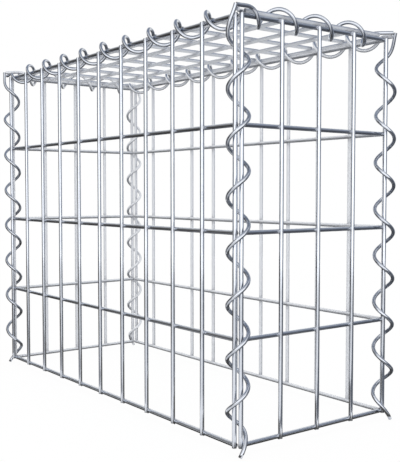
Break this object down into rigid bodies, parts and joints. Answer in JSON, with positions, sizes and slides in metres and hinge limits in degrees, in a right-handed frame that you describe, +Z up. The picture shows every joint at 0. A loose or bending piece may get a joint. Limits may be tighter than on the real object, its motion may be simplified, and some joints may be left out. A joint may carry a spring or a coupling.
{
  "type": "gabion basket",
  "caption": "Open-bottomed gabion basket of welded wire mesh: two long sides, two ends and a lid laced together with spiral binders, to be filled with stones.",
  "frame": {"origin": "middle of the basket's plan, at the level that the feet of the four corner spirals stand on", "axes": "+X along the long sides towards the right end, +Y from the front to the back, +Z up"},
  "size_m": [0.528, 0.2296, 0.4236],
  "materials": {
    "mesh_wire": "galvanised, bright zinc coat on drawn steel wire",
    "spiral_wire": "galvanised, smooth zinc coat on coiled steel wire"
  },
  "bodies": {
    "root": {"front_panel": "mesh_wire", "back_panel": "mesh_wire", "left_end_panel": "mesh_wire", "right_end_panel": "mesh_wire", "lid_panel": "mesh_wire", "front_left_corner_spiral": "spiral_wire", "front_right_corner_spiral": "spiral_wire", "back_left_corner_spiral": "spiral_wire", "back_right_corner_spiral": "spiral_wire", "front_lid_spiral": "spiral_wire", "back_lid_spiral": "spiral_wire", "left_lid_spiral": "spiral_wire", "right_lid_spiral": "spiral_wire"}
  },
  "joints": []
}
